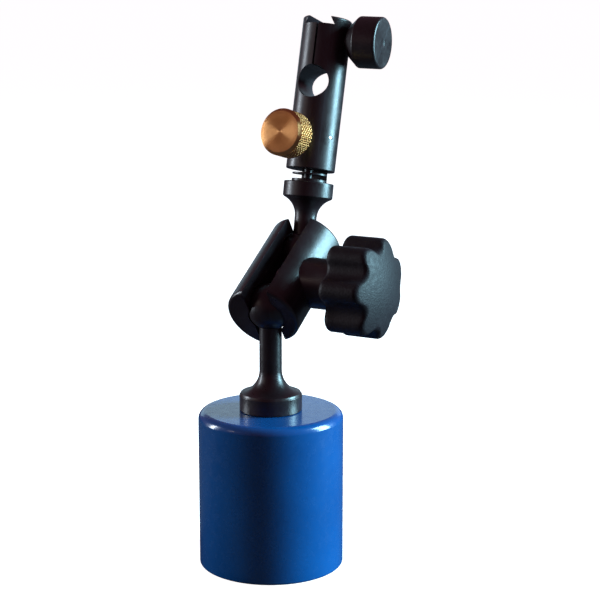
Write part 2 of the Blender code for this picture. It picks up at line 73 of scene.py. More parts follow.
FINE_SCREW_HEIGHT, FINE_SCREW_RADIUS, FINE_TIP, FINE_HOLE_END = 7.0, 1.5, -1.6, -2.6
FINE_HEAD_RADIUS, FINE_HEAD_FACE, FINE_HEAD_LENGTH = 5.65, 16.4, 6.0
FINE_HUB_RADIUS, FINE_HUB_END = 3.4, 7.4
STOP_PIN_RADIUS, STOP_PIN_HEIGHT, STOP_PIN_AZIMUTH, STOP_PIN_START = 0.5, 8.0, -18.0, 3.2
THUMB_RADIUS, THUMB_FACE, THUMB_SCREW_RADIUS = 6.3, 15.2, 1.5
THUMB_NECK_RADIUS, THUMB_NECK_START, THUMB_CONE_END, THUMB_SCREW_END = 3.6, 6.7, 9.2, -4.8

# Play between pieces, as a radius or a depth
SEAM = 0.02                                       # faces that lie against each other
SLIDING_FIT, SCREW_FIT, LOOSE_FIT = 0.06, 0.25, 0.3
PAST = 2.0                                        # how far a cutter runs past its piece

# Details of the finished look
CUP_FOOT_EDGE, SPACER_LIFT, SPACER_EDGE = 0.5, 0.2, 0.2
FLANGE_EDGE, FLANGE_SHOULDER_EDGE, FLANGE_LIP = 0.25, 0.2, 0.35
JAW_EDGE, NECK_EDGE, BAR_EDGE, BAR_FOOT_EDGE, BAR_TOP_EDGE = 0.16, 0.06, 0.12, 0.25, 0.5
BOLT_THREAD_START, BOLT_PITCH, BOLT_THREAD_DEPTH, BOLT_EDGE = 6.0, 0.7, 0.3, 0.3
HEXAGON_RADIUS, HEXAGON_DEPTH, WIRE_STEPS = 2.2, 2.2, 32
COLLAR_EDGE, WASHER_EDGE, WASHER_SEAM = 0.5, 0.15, 0.05
KNOB_BORE, KNOB_RECESS, KNOB_RECESS_DEPTH = 4.35, 7.4, 0.3
INSERT_BORE, INSERT_CORNER = 2.2, 0.2
WEB_LAP, PIN_PLAY, PIN_EDGE, MOUTH_DEPTH = 0.06, 0.5, 0.3, 0.2
STOP_PIN_DROP, STOP_PIN_EDGE = 0.15, 0.12
KNURL_GROOVES, KNURL_PITCH, KNURL_DEPTH, KNURL_FADE = 34, 1.0, 0.36, 0.25
GROOVE_STEEPNESS = 2.2
FINE_CHAMFER, FINE_BORE_DEPTH, FINE_THREAD_START = 0.7, 3.0, 1.4
SCREW_PITCH, FINE_THREAD_DEPTH, THUMB_THREAD_DEPTH = 0.5, 0.2, 0.22
THUMB_TRIM, THUMB_RIM, THUMB_DIMPLE, THUMB_BORE_DEPTH = 0.03, 0.6, 0.12, 2.5


# ---------------------------------------------------------------- frames

JOINTS = {joint["name"]: joint for joint in frame["joints"]}


def axes(origin, x, z):
    """Matrix with the given origin, X near x and Z along z."""
    z = Vector(z).normalized()
    y = z.cross(Vector(x)).normalized()
    x = y.cross(z)
    return Matrix.Translation(origin) @ Matrix((x, y, z)).transposed().to_4x4()


def joint_point(name):
    """Where a joint sits, in metres."""
    return Vector(JOINTS[name]["pos_m"])


def joint_axis(name):
    """The unit direction that a joint turns about or slides along."""
    return Vector(JOINTS[name]["axis"])


KNOB_DIRECTION = joint_axis("knob_turn")
LOWER_BALL = joint_point("lower_ball_swing")
UPPER_BALL = joint_point("upper_ball_swing")
BALL_SPACING = (UPPER_BALL - LOWER_BALL).length / MM
BASE_FRAME = Matrix.Identity(4)
LOWER_STUD_FRAME = Matrix.Translation(LOWER_BALL)
CLAMP_FRAME = axes(LOWER_BALL, KNOB_DIRECTION, UPPER_BALL - LOWER_BALL)
KNOB_FRAME = axes(joint_point("knob_turn"), LOWER_BALL - UPPER_BALL, KNOB_DIRECTION)
STUD_FRAME = axes(UPPER_BALL, KNOB_DIRECTION, joint_axis("head_swivel"))
NECK_FRAME = axes(UPPER_BALL, joint_axis("fine_tilt"), joint_axis("head_swivel"))
BAR_UP = joint_axis("fine_tilt").cross(-joint_axis("fine_screw_turn"))
BAR_FRAME = axes(joint_point("fine_screw_turn") - BAR_UP * FINE_SCREW_HEIGHT * MM,
                 joint_axis("fine_tilt"), BAR_UP)
FINE_FRAME = axes(joint_point("fine_screw_turn"), BAR_UP, joint_axis("fine_screw_turn"))
THUMB_FRAME = axes(joint_point("stem_clamp_turn"), BAR_UP, joint_axis("stem_clamp_turn"))


# ---------------------------------------------------------------- mesh helpers

BEVELLED_ABOVE = 28   # carved edges with a greater angle between their faces are rounded


def arc(centre, radius, start, end, steps):
    """Points on an arc of a profile, angles from +X toward +Z."""
    points = []
    for i in range(steps + 1):
        angle = math.radians(start + (end - start) * i / steps)
        points.append((centre[0] + radius * math.cos(angle), centre[1] + radius * math.sin(angle)))
    return points


def rows(radius, start, end, step):
    """A straight stretch of profile cut into short rows, for surface relief."""
    count = max(1, round(abs(end - start) / step))
    return [(radius, start + (end - start) * i / count) for i in range(count + 1)]


def new_object(name, mesh, where):
    """An object of the given mesh or curve, linked to the scene."""
    obj = bpy.data.objects.new(name, mesh)
    bpy.context.scene.collection.objects.link(obj)
    obj.matrix_world = where
    return obj


def lathe(name, profile, where, sides=144, ring=False, relief=None):
    """A turned mesh about where's Z axis.

    A profile may be a function of the angle; relief(angle, r, z) is added to a radius.
    A ring's profile closes on itself, and any other one starts and ends on the axis."""
    outlines = [profile(2 * math.pi * i / sides) if callable(profile) else profile
                for i in range(sides)]
    count = len(outlines[0])
    points = []
    for i, outline in enumerate(outlines):
        angle = 2 * math.pi * i / sides
        for r, z in outline:
            radius = r + (relief(angle, r, z) if relief and r > 0 else 0.0)
            points.append((radius * math.cos(angle) * MM, radius * math.sin(angle) * MM, z * MM))
    faces = []
    rows_in_loop = count if ring else count - 1
    for i in range(sides):
        j = (i + 1) % sides
        for k in range(rows_in_loop):
            m = (k + 1) % count
            faces.append((i * count + k, i * count + m, j * count + m, j * count + k))
    mesh = bpy.data.meshes.new(name)
    mesh.from_pydata(points, [], faces)
    weld(mesh)
    return new_object(name, mesh, where)


def weld(mesh):
    """Merge doubled points, drop collapsed faces and turn the faces outward."""
    bm = bmesh.new()
    bm.from_mesh(mesh)
    bmesh.ops.remove_doubles(bm, verts=bm.verts, dist=0.001 * MM)
    bmesh.ops.recalc_face_normals(bm, faces=bm.faces)
    bm.to_mesh(mesh)
    bm.free()


def rod(name, radius, start, end, where, sides=64, edge=0.0):
    """A cylinder between two heights, its rims rounded where an edge is given."""
    if edge:
        profile = [(0, end), *arc((radius - edge, end - edge), edge, 90, 0, 3),
                   *arc((radius - edge, start + edge), edge, 0, -90, 3), (0, start)]
    else:
        profile = [(0, end), (radius, end), (radius, start), (0, start)]
    return lathe(name, profile, where, sides)


def block(name, low, high, where, flare=1.0):
    """A box; flare widens its lower face along X."""
    bm = bmesh.new()
    bmesh.ops.create_cube(bm, size=1.0)
    low, high = Vector(low), Vector(high)
    for vertex in bm.verts:
        if vertex.co.z < 0:
            vertex.co.x *= flare
        spread = Vector([c * s for c, s in zip(vertex.co, high - low)])
        vertex.co = (spread + (low + high) / 2) * MM
    mesh = bpy.data.meshes.new(name)
    bm.to_mesh(mesh)
    bm.free()
    return new_object(name, mesh, where)


def turn_about(where, at=(0, 0, 0), tilt=0.0, azimuth=0.0, about="Y"):
    """A frame inside where: moved to at, then its Z axis laid over and swung round."""
    local = (Matrix.Translation(Vector(at) * MM) @ Matrix.Rotation(math.radians(azimuth), 4, "Z")
             @ Matrix.Rotation(math.radians(tilt), 4, about))
    return where @ local


def carve(target, cutters, edge=0.0):
    """Cut the cutters' shapes away, round the edges that this leaves, and keep only the mesh."""
    for cutter in cutters:
        modifier = target.modifiers.new(cutter.name, "BOOLEAN")
        modifier.operation = "DIFFERENCE"
        modifier.solver = "EXACT"
        modifier.object = cutter
    if edge:
        bevel = target.modifiers.new("edge", "BEVEL")
        bevel.width = edge * MM
        bevel.segments = 2
        bevel.limit_method = "ANGLE"
        bevel.angle_limit = math.radians(BEVELLED_ABOVE)
        bevel.use_clamp_overlap = True
    bpy.context.view_layer.update()
    graph = bpy.context.evaluated_depsgraph_get()
    mesh = bpy.data.meshes.new_from_object(target.evaluated_get(graph))
    target.modifiers.clear()
    target.data = mesh
    for cutter in cutters:
        bpy.data.objects.remove(cutter)
    return target


def settle(obj):
    """Write the piece's own coordinates and turning direction on its vertices, then move
    the mesh itself, so that the object has no rotation of its own."""
    mesh, where = obj.data, obj.matrix_world.copy()
    own = np.empty(len(mesh.vertices) * 3)
    mesh.vertices.foreach_get("co", own)
    around = own.reshape(-1, 3) @ np.array(((0, 1, 0), (-1, 0, 0), (0, 0, 0)))
    around /= np.maximum(np.linalg.norm(around, axis=1, keepdims=True), 1e-9)
    around = around @ np.array(where.to_3x3()).T
    for name, values in (("own", own), ("around", around.ravel())):
        mesh.attributes.new(name, "FLOAT_VECTOR", "POINT").data.foreach_set("vector", values)
    mesh.transform(where)
    obj.matrix_world = Matrix.Identity(4)


def place(obj, body, slot, material, *nodes, sharp=32):
    """Shade a finished piece, give it its material and let it ride on its body."""
    settle(obj)
    obj.data.materials.clear()
    obj.data.materials.append(material)
    obj.data.shade_smooth()
    obj.data.set_sharp_from_angle(angle=math.radians(sharp))
    even = obj.modifiers.new("even_shading", "WEIGHTED_NORMAL")
    even.keep_sharp = True
    even.weight = 100
    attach(obj, body)
    if nodes:
        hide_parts(*nodes)


# ---------------------------------------------------------------- materials

class Nodes:
    """A short way to write a Principled material's node tree."""

    def __init__(self, name, **settings):
        self.material = bpy.data.materials.new(name)
        self.material.use_nodes = True
        self.tree = self.material.node_tree
        self.shader = self.tree.nodes["Principled BSDF"]
        for key, value in settings.items():
            self.shader.inputs[key.replace("_", " ")].default_value = value
        self.position = self.add("ShaderNodeAttribute", attribute_name="own").outputs["Vector"]

    def add(self, kind, inputs=None, **settings):
        """A new node, with its inputs given or linked and its settings made."""
        node = self.tree.nodes.new(kind)
        for key, value in settings.items():
            setattr(node, key, value)
        for key, value in (inputs or {}).items():
            self.set(node.inputs[key], value)
        return node

    def set(self, socket, value):
        if isinstance(value, bpy.types.NodeSocket):
            self.tree.links.new(value, socket)
        else:
            socket.default_value = value

    def math(self, operation, a, b=0.0):
        return self.add("ShaderNodeMath", {0: a, 1: b}, operation=operation).outputs[0]

    def noise(self, scale, detail=4.0, roughness=0.5, stretch=(1, 1, 1)):
        mapping = self.add("ShaderNodeMapping", {"Vector": self.position, "Scale": stretch})
        return self.add("ShaderNodeTexNoise", {"Vector": mapping.outputs[0], "Scale": scale,
                                               "Detail": detail, "Roughness": roughness}).outputs[0]

    def ramp(self, factor, low, high, dark, light):
        """A colour that runs from dark to light between two factor values."""
        node = self.add("ShaderNodeMapRange", {"Value": factor, "From Min": low, "From Max": high})
        mix = self.add("ShaderNodeMix", {"Factor": node.outputs[0]}, data_type="RGBA")
        self.set(mix.inputs["A"], (*dark, 1.0))
        self.set(mix.inputs["B"], (*light, 1.0))
        return mix.outputs["Result"]

    def span(self, factor, low, high, start, end):
        """A number that runs from start to end between two factor values."""
        node = self.add("ShaderNodeMapRange", {"Value": factor, "From Min": low, "From Max": high,
                                               "To Min": start, "To Max": end})
        return node.outputs[0]

    def bump(self, height, strength, distance, under=None):
        """Relief laid over the one under it."""
        node = self.add("ShaderNodeBump",
                        {"Height": height, "Strength": strength, "Distance": distance})
        if under is not None:
            self.set(node.inputs["Normal"], under)
        return node.outputs[0]

    def edges(self):
        """High along convex edges and low in hollows, from the mesh's own curvature."""
        return self.add("ShaderNodeNewGeometry").outputs["Pointiness"]

    def radius(self):
        """Distance from the piece's own turning axis."""
        flat = self.add("ShaderNodeVectorMath", {0: self.position, 1: (1, 1, 0)},
                        operation="MULTIPLY").outputs[0]
        return self.add("ShaderNodeVectorMath", {0: flat}, operation="LENGTH").outputs["Value"]

    def link(self, name, value):
        self.set(self.shader.inputs[name], value)


def blue_paint():
    """Thick glossy enamel with slight orange peel over the steel cup."""
    n = Nodes("blue_paint", Metallic=0.0, Coat_Weight=0.6, Coat_Roughness=0.08, IOR=1.5)
    tone = n.noise(90, 3)
    n.link("Base Color", n.ramp(tone, 0.3, 0.7, (0.0015, 0.088, 0.32), (0.0025, 0.105, 0.37)))
    n.link("Roughness", n.span(n.noise(500, 4), 0.3, 0.7, 0.2, 0.3))
    peel = n.bump(n.noise(420, 2, 0.4), 0.12, 0.0002)
    n.link("Normal", n.bump(n.noise(60, 1, 0.3), 0.1, 0.0006, peel))
    return n.material


def black_oxide(name, tool_marks):
    """Blackened steel: faint tool marks round the piece, speckle and rubbed edges."""
    n = Nodes(name, Metallic=0.0, IOR=1.6)
    cloud = n.noise(180, 5, 0.6)
    speck = n.noise(2600, 2, 0.6)
    base = n.ramp(cloud, 0.3, 0.72, (0.011, 0.0045, 0.006), (0.021, 0.010, 0.013))
    worn = n.span(n.edges(), 0.52, 0.6, 0.0, 0.35)
    mix = n.add("ShaderNodeMix", {"Factor": worn, "B": (0.05, 0.045, 0.055, 1.0)}, data_type="RGBA")
    n.set(mix.inputs["A"], base)
    n.link("Base Color", mix.outputs["Result"])
    rough = n.span(cloud, 0.3, 0.7, 0.3, 0.42)
    n.link("Roughness", n.math("ADD", rough, n.span(speck, 0.4, 0.7, -0.04, 0.08)))
    lines = n.noise(5200, 3, 0.6, (0.02, 0.02, 1))
    grain = n.bump(speck, 0.10, 0.00004)
    n.link("Normal", n.bump(lines, tool_marks, 0.00004, grain))
    return n.material


def black_plastic():
    """Glass-filled nylon with a fine spark-eroded texture."""
    n = Nodes("black_plastic", IOR=1.45, Specular_IOR_Level=0.35)
    cloud = n.noise(130, 4)
    n.link("Base Color", n.ramp(cloud, 0.3, 0.7, (0.010, 0.006, 0.009), (0.018, 0.012, 0.016)))
    n.link("Roughness", n.span(n.noise(900, 3), 0.3, 0.7, 0.46, 0.6))
    grit = n.noise(2100, 2, 0.55)
    n.link("Normal", n.bump(grit, 0.55, 0.00014, n.bump(n.noise(500, 2), 0.15, 0.0002)))
    return n.material


def brass():
    """Turned brass: rings on its flat faces, and painted shade that darkens the knurl's valleys."""
    n = Nodes("brass", Metallic=1.0, Anisotropic=0.92, Anisotropic_Rotation=0.25)
    rings = n.add("ShaderNodeTexNoise", {"Scale": 1.0, "Detail": 5.0, "Roughness": 0.7},
                  noise_dimensions="1D")
    n.set(rings.inputs["W"], n.math("MULTIPLY", n.radius(), 9000.0))
    cloud = n.noise(260, 4)
    colour = n.ramp(cloud, 0.3, 0.7, (0.62, 0.29, 0.10), (0.80, 0.42, 0.17))
    # painted shade: concave hollows such as the knurl's valleys are mixed toward dark brown, by the
    # mesh's curvature
    valley_painted_shade = n.span(n.edges(), 0.44, 0.52, 0.65, 0.0)
    mix = n.add("ShaderNodeMix", {"Factor": valley_painted_shade, "B": (0.10, 0.05, 0.02, 1.0)}, data_type="RGBA")
    n.set(mix.inputs["A"], colour)
    n.link("Base Color", mix.outputs["Result"])
    n.link("Roughness", n.span(rings.outputs[0], 0.3, 0.7, 0.3, 0.45))
    n.link("Normal", n.bump(rings.outputs[0], 0.30, 0.00003))
    n.link("Tangent", n.add("ShaderNodeAttribute", attribute_name="around").outputs["Vector"])
    return n.material


def steel(name="steel", colour=(0.5, 0.5, 0.51), rough=0.28):
    """Bright ground steel with fine marks round the piece."""
    n = Nodes(name, Metallic=1.0)
    cloud = n.noise(300, 5, 0.6)
    n.link("Base Color", n.ramp(cloud, 0.3, 0.7, [c * 0.8 for c in colour], colour))
    n.link("Roughness", n.span(cloud, 0.3, 0.7, rough, rough + 0.12))
    n.link("Normal", n.bump(n.noise(4000, 3, 0.6, (0.03, 0.03, 1)), 0.12, 0.00003))
    return n.material


def ferrite():
    """Dull dark grey ceramic with a fine grain."""
    n = Nodes("ferrite")
    cloud = n.noise(700, 5)
    n.link("Base Color", n.ramp(cloud, 0.3, 0.7, (0.04, 0.04, 0.045), (0.08, 0.08, 0.085)))
    n.link("Roughness", n.span(n.noise(900), 0.3, 0.7, 0.6, 0.85))
    n.link("Normal", n.bump(n.noise(1800, 4), 0.4, 0.0001))
    return n.material


BLUE_PAINT = blue_paint()
BLACK_TURNED = black_oxide("black_oxide_turned", 0.22)
BLACK_MILLED = black_oxide("black_oxide_milled", 0.12)
BLACK_PLASTIC = black_plastic()
BRASS = brass()
STEEL = steel()
SPRING_STEEL = steel("spring_steel", (0.36, 0.36, 0.38), 0.25)
FERRITE = ferrite()


# ---------------------------------------------------------------- magnet

def build_magnet():
    """Painted cup with the pole plate, its brass ring and the ferrite disc inside."""
    top, edge, foot = BASE_HEIGHT, BASE_EDGE, CUP_FOOT_EDGE
    hole = STEM_RADIUS + LOOSE_FIT
    profile = [(hole, top), (BASE_RADIUS - edge - 3, top),
               *arc((BASE_RADIUS - edge, top - edge), edge, 90, 0, 14),
               *arc((BASE_RADIUS - foot, foot), foot, 0, -90, 5),
               (CAVITY_RADIUS, 0), (CAVITY_RADIUS, CAVITY_HEIGHT), (hole, CAVITY_HEIGHT)]
    cup = lathe("magnet_cup_painted", profile, BASE_FRAME, 192, ring=True)
    place(cup, "base", "blue_paint", BLUE_PAINT, "magnet_cup")
    inner, outer = SPACER_INNER - LOOSE_FIT, CAVITY_RADIUS - LOOSE_FIT
    pole = rod("pole_face", inner, 0, POLE_HEIGHT, BASE_FRAME, 128, 0.2)
    place(pole, "base", "steel", STEEL, "pole_plate")
    profile = [(SPACER_INNER, POLE_HEIGHT), (outer, POLE_HEIGHT),
               *arc((outer - SPACER_EDGE, SPACER_LIFT + SPACER_EDGE), SPACER_EDGE, 0, -90, 3),
               (SPACER_INNER, SPACER_LIFT)]
    spacer = lathe("spacer_ring", profile, BASE_FRAME, 128, ring=True)
    place(spacer, "base", "brass", BRASS, "pole_spacer_ring")
    disc = rod("ferrite_disc", inner, POLE_HEIGHT + LOOSE_FIT, CAVITY_HEIGHT - LOOSE_FIT,
               BASE_FRAME, 96, 0.3)
    place(disc, "base", "ferrite", FERRITE, "magnet_disc")


# ---------------------------------------------------------------- ball studs

def ball_profile():
    """The ball's outline from its top down to the shank."""
    shank_angle = math.degrees(math.acos(SHANK_RADIUS / BALL_RADIUS))
    return [(0, BALL_RADIUS), *arc((0, 0), BALL_RADIUS, 90, -shank_angle, 40)[1:]]


def flare_profile(start, radius, flange_radius):
    """The hollow curve that widens the shank into a flange."""
    centre = (SHANK_RADIUS + radius, -start)
    end = 180 + math.degrees(math.acos((centre[0] - flange_radius + FLANGE_LIP) / radius))
    return arc(centre, radius, 180, end, 20)


def build_lower_stud():
    """Ball, shank and flange in one, with a stem that fills the hole in the magnet's top."""
    radius, edge, ball_height = LOWER_FLANGE_RADIUS, FLANGE_EDGE, LOWER_BALL.z / MM
    top = LOWER_FLANGE_TOP - ball_height
    bottom = BASE_HEIGHT - ball_height + SEAM
    stem = CAVITY_HEIGHT + LOOSE_FIT - ball_height
    profile = [*ball_profile(), *flare_profile(LOWER_FLARE_START, LOWER_FLARE_RADIUS, radius),
               *arc((radius - edge, top - FLANGE_LIP), edge, 70, 0, 4),
               *arc((radius - edge, bottom + edge), edge, 0, -90, 4),
               (STEM_RADIUS, bottom), (STEM_RADIUS, stem), (0, stem)]
    stud = lathe("lower_stud_turned", profile, LOWER_STUD_FRAME, 144)
    place(stud, "lower_stud", "black_oxide", BLACK_TURNED, "lower_ball_stud")


def build_upper_stud():
    """The same kind of stud, its ball down and its flange under the neck."""
    radius, edge, shoulder = UPPER_FLANGE_RADIUS, FLANGE_EDGE, FLANGE_SHOULDER_EDGE
    profile = [*ball_profile(), *flare_profile(UPPER_FLARE_START, UPPER_FLARE_RADIUS, radius),
               *arc((radius - shoulder, -UPPER_FLANGE_START), shoulder, 60, 0, 3),
               *arc((radius - edge, -UPPER_FLANGE_END + edge), edge, 0, -90, 4),
               (0, -UPPER_FLANGE_END)]
    upside_down = STUD_FRAME @ Matrix.Rotation(math.pi, 4, "X")
    stud = lathe("upper_stud_turned", profile, upside_down, 144)
    place(stud, "upper_stud", "black_oxide", BLACK_TURNED, "upper_ball_stud")


# ---------------------------------------------------------------- ball clamp

def jaw_mesh(name, ends, side):
    """One half of the clamp's cylinder; side is -1 for the far jaw and 1 for the near one."""
    low, high = ends
    edge, reach, rim = CLAMP_EDGE, CLAMP_RADIUS + PAST, CLAMP_RADIUS - CLAMP_EDGE
    profile = [(0, high), *arc((rim, high - edge), edge, 90, 0, 7),
               *arc((rim, low + edge), edge, 0, -90, 7), (0, low)]
    jaw = lathe(name, profile, turn_about(CLAMP_FRAME, (CLAMP_OFFSET, 0, 0)), 160)
    gap = (-reach, JAW_FACE) if side > 0 else (-JAW_FACE, reach)
    cutters = [block("gap", (gap[0], -reach, low - PAST), (gap[1], reach, high + PAST), CLAMP_FRAME)]
    for centre in (0.0, BALL_SPACING):
        cutters.append(lathe("socket", arc((0, 0), SOCKET_RADIUS, 90, -90, 36),
                             turn_about(CLAMP_FRAME, (0, 0, centre)), 72))
    through = (0, reach) if side > 0 else (-reach, 0)
    cutters.append(rod("bolt_hole", BOLT_RADIUS + LOOSE_FIT, *through, KNOB_FRAME, 48))
    if side > 0:
        seat = rod("collar_seat", COLLAR_RADIUS + SLIDING_FIT, COLLAR_SEAT, reach, KNOB_FRAME, 96)
    else:
        seat = rod("bolt_seat", BOLT_HEAD_RADIUS + SCREW_FIT, -reach, BOLT_HEAD_END + 0.1, KNOB_FRAME, 64)
    return carve(jaw, [*cutters, seat], JAW_EDGE)


def build_jaws():
    """Two unequal halves of one cylinder, with their sockets, bolt hole and seats."""
    far = jaw_mesh("far_jaw_milled", FAR_JAW_ENDS, -1)
    near = jaw_mesh("near_jaw_milled", NEAR_JAW_ENDS, 1)
    place(far, "clamp", "black_oxide", BLACK_MILLED, "far_jaw")
    place(near, "near_jaw", "black_oxide", BLACK_MILLED, "near_jaw")


def thread(pitch, depth, start, end):
    """Relief of a screw thread between two heights."""
    def relief(angle, r, z):
        if not start < z < end:
            return 0.0
        phase = (z / pitch - angle / (2 * math.pi)) % 1.0
        return -depth * abs(2 * phase - 1)
    return relief


def build_clamp_bolt():
    """Cap bolt with a hexagon in its head and a thread under the knob."""
    head, shank, edge = BOLT_HEAD_RADIUS, BOLT_RADIUS, BOLT_EDGE
    end, start = BOLT_END - edge, BOLT_THREAD_START
    profile = [(0, BOLT_END), (shank - edge, BOLT_END), *rows(shank, end, start, 0.1),
               (shank, BOLT_HEAD_END), (head, BOLT_HEAD_END),
               *arc((head - edge, BOLT_HEAD_START + edge), edge, 0, -90, 4), (0, BOLT_HEAD_START)]
    bolt = lathe("clamp_bolt_black", profile, KNOB_FRAME, 48,
                 relief=thread(BOLT_PITCH, BOLT_THREAD_DEPTH, start, end))
    hexagon = rod("hexagon", HEXAGON_RADIUS, BOLT_HEAD_START - PAST, BOLT_HEAD_START + HEXAGON_DEPTH,
                  KNOB_FRAME, 6)
    carve(bolt, [hexagon])
    place(bolt, "clamp", "black_oxide", BLACK_TURNED, "clamp_bolt")


def build_spring():
    """Open coil round the bolt that pushes the jaws apart."""
    curve = bpy.data.curves.new("jaw_spring_wire", "CURVE")
    curve.dimensions = "3D"
    curve.bevel_depth = SPRING_WIRE * MM
    curve.bevel_resolution = 3
    curve.use_fill_caps = True
    spline = curve.splines.new("POLY")
    count = SPRING_TURNS * WIRE_STEPS + 1
    spline.points.add(count - 1)
    travel = 2 * (SPRING_HALF_LENGTH - SPRING_WIRE)
    for i, point in enumerate(spline.points):
        angle = 2 * math.pi * i / WIRE_STEPS
        point.co = (SPRING_RADIUS * math.cos(angle) * MM, SPRING_RADIUS * math.sin(angle) * MM,
                    travel * (i / (count - 1) - 0.5) * MM, 1.0)
    coil = new_object("jaw_spring_coil", curve, KNOB_FRAME)
    bpy.context.view_layer.update()
    graph = bpy.context.evaluated_depsgraph_get()
    mesh = bpy.data.meshes.new_from_object(coil.evaluated_get(graph))
    bpy.data.objects.remove(coil)
    weld(mesh)
    spring = new_object("jaw_spring_coil", mesh, KNOB_FRAME)
    place(spring, "clamp", "spring_steel", SPRING_STEEL, "jaw_spring", sharp=60)


def build_collar():
    """Thrust collar between the near jaw and the knob, with a ground washer on it."""
    bore, radius, edge = BOLT_RADIUS + LOOSE_FIT, COLLAR_RADIUS, COLLAR_EDGE
    start = COLLAR_SEAT + SEAM
    profile = [(bore, COLLAR_END), *arc((radius - edge, COLLAR_END - edge), edge, 90, 0, 6),
               (radius, start), (bore, start)]
    collar = lathe("thrust_collar_turned", profile, KNOB_FRAME, 128, ring=True)
    place(collar, "near_jaw", "black_oxide", BLACK_TURNED, "thrust_collar")
    radius, edge, start = WASHER_RADIUS, WASHER_EDGE, COLLAR_END + WASHER_SEAM
    profile = [(bore, WASHER_END), *arc((radius - edge, WASHER_END - edge), edge, 90, 0, 3),
               (radius, start), (bore, start)]
    washer = lathe("thrust_washer_ground", profile, KNOB_FRAME, 96, ring=True)
    place(washer, "near_jaw", "steel", STEEL, "thrust_washer")


def knob_radius(angle):
    """Outer radius at an angle from a lobe's middle: lobe and flute arcs that meet smoothly."""
    pitch = 2 * math.pi / KNOB_LOBES
    off = abs((angle + pitch / 2) % pitch - pitch / 2)
    lobe, inner = KNOB_RADIUS - KNOB_TIP, KNOB_VALLEY - KNOB_TIP
    flute = (lobe ** 2 - inner ** 2) / (2 * (lobe * math.cos(pitch / 2) - inner))
    facing = math.atan2(flute * math.sin(pitch / 2), flute * math.cos(pitch / 2) - lobe)
    meeting = math.atan2(KNOB_TIP * math.sin(facing), lobe + KNOB_TIP * math.cos(facing))
    if off <= meeting:
        return lobe * math.cos(off) + math.sqrt(KNOB_TIP ** 2 - (lobe * math.sin(off)) ** 2)
    off = pitch / 2 - off
    hollow = flute - KNOB_VALLEY
    return flute * math.cos(off) - math.sqrt(hollow ** 2 - (flute * math.sin(off)) ** 2)


def build_knob():
    """A domed face that runs out to the lobes, with rounded rims and a recessed back."""
    up = KNOB_FRAME.to_3x3().inverted() @ Vector((0, 0, 1))
    first_lobe = math.atan2(up.y, up.x) - math.radians(KNOB_LOBE_CLOCK)
    dome = (KNOB_RADIUS ** 2 + KNOB_CROWN ** 2) / (2 * KNOB_CROWN)
    middle = KNOB_RIM + KNOB_CROWN - dome
    front, back, bore, bore_end = KNOB_FRONT_EDGE, KNOB_BACK_EDGE, KNOB_BORE, INSERT_END + 0.1
    recess, depth = KNOB_RECESS, KNOB_RECESS_DEPTH
    face_steps, side_steps = 22, 9

    def outline(angle):
        radius = knob_radius(angle - first_lobe)
        rim = radius - front
        rise = math.sqrt((dome - front) ** 2 - rim ** 2)
        slope = math.atan2(rise, rim)
        reach = dome * math.cos(slope)
        face = [(reach * i / face_steps, middle + math.sqrt(dome ** 2 - (reach * i / face_steps) ** 2))
                for i in range(face_steps)]
        side_top, side_foot = middle + rise, KNOB_BACK + back
        side = [(radius, side_top + (side_foot - side_top) * i / side_steps)
                for i in range(1, side_steps)]
        return [*face, *arc((rim, side_top), front, math.degrees(slope), 0, 7), *side,
                *arc((radius - back, side_foot), back, 0, -90, 8),
                (recess, KNOB_BACK), (recess - 0.4, KNOB_BACK + depth), (bore, KNOB_BACK + depth),
                (bore, bore_end), (0, bore_end)]

    knob = lathe("clamp_knob_moulded", outline, KNOB_FRAME, KNOB_LOBES * 48)
    place(knob, "knob", "black_plastic", BLACK_PLASTIC, "clamp_knob", sharp=50)
    hole, outer, corner, start = INSERT_BORE, INSERT_RADIUS, INSERT_CORNER, KNOB_BACK + INSERT_SINK
    profile = [(hole, INSERT_END), (outer, INSERT_END), (outer, start + 0.15),
               (outer - corner, start), (hole + corner, start), (hole, start + corner)]
    insert = lathe("knob_insert_turned", profile, KNOB_FRAME, 64, ring=True)
    place(insert, "knob", "brass", BRASS, "knob_insert")


# ---------------------------------------------------------------- neck and bar

def build_neck():
    """Foot, thin tongue and web, the web's top lapping the bar; a tilt pin through the tongue."""
    reach = NECK_RADIUS + PAST
    foot, top = UPPER_FLANGE_END + SEAM, BAR_BOTTOM + WEB_LAP
    profile = [(0, top), *rows(NECK_RADIUS, top, foot, 0.2), (0, foot)]
    neck = lathe("flexure_neck_milled", profile, NECK_FRAME, 96)
    pin_frame = turn_about(NECK_FRAME, (0, PIN_OFFSET, 0))
    slots = (("slot_lower", NECK_STEP, TONGUE_BOTTOM), ("slot_upper", TONGUE_TOP, top + PAST))
    cutters = [block(name, (-reach, -reach, low), (reach, WEB_FACE, high), NECK_FRAME)
               for name, low, high in slots]
    cutters.append(rod("tongue_hole", PIN_RADIUS + LOOSE_FIT, NECK_STEP + 0.1, top + PAST, pin_frame, 48))
    carve(neck, cutters, NECK_EDGE)
    place(neck, "neck", "black_oxide", BLACK_MILLED, "flexure_neck")
    pin_top = BAR_BOTTOM + FINE_SCREW_HEIGHT - FINE_SCREW_RADIUS - LOOSE_FIT
    pin = rod("tilt_pin_ground", PIN_RADIUS, NECK_STEP + 0.05, pin_top, pin_frame, 48, PIN_EDGE)
    place(pin, "neck", "black_oxide", BLACK_TURNED, "tilt_pin")


